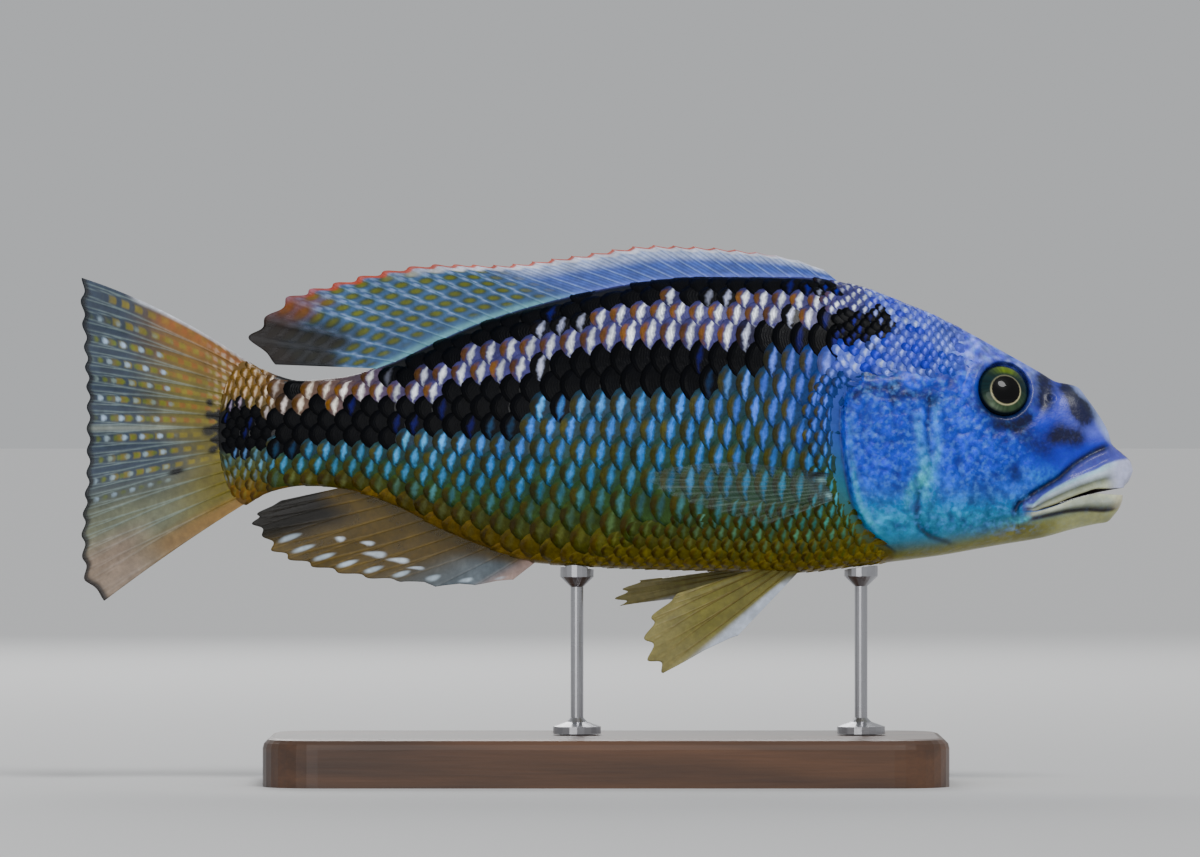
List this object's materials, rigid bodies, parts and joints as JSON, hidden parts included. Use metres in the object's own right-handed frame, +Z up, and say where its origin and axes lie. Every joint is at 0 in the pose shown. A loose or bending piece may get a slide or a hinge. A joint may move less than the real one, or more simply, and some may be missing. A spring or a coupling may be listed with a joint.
{
  "type": "malawi hawk cichlid, life-size still model on a display stand",
  "caption": "Blue long-headed lake cichlid with a slanting black stripe, all fins spread, held level over a flat wooden base by short steel rods.",
  "frame": {"origin": "on the floor under the middle of the whole model", "axes": "+X towards the snout, -Y to the fish's right side, +Z up"},
  "size_m": [0.2635, 0.076, 0.1345],
  "materials": {
    "blue_skin": "wet-looking scaled skin, royal blue on the head and sky blue on the flank, with black stripes and an olive belly",
    "fin_skin": "thin, slightly see-through membrane over its rays, with yellow-green spots",
    "eye_glass": "polished eye with a dark green iris and a gold ring round the pupil",
    "walnut": "oiled dark wood with a soft sheen",
    "steel": "brushed steel"
  },
  "bodies": {
    "root": {"head": "blue_skin", "upper_jaw": "blue_skin", "lower_jaw": "blue_skin", "gill_cover_right": "blue_skin", "gill_cover_left": "blue_skin", "trunk": "blue_skin", "tail_stalk": "blue_skin", "eye_right": "eye_glass", "eye_left": "eye_glass", "dorsal_fin_spiny": "fin_skin", "dorsal_fin_soft": "fin_skin", "anal_fin": "fin_skin", "caudal_fin": "fin_skin", "pectoral_fin_right": "fin_skin", "pectoral_fin_left": "fin_skin", "pelvic_fin_right": "fin_skin", "pelvic_fin_left": "fin_skin", "stand_base": "walnut", "stand_rod_front": "steel", "stand_rod_rear": "steel"}
  },
  "joints": []
}
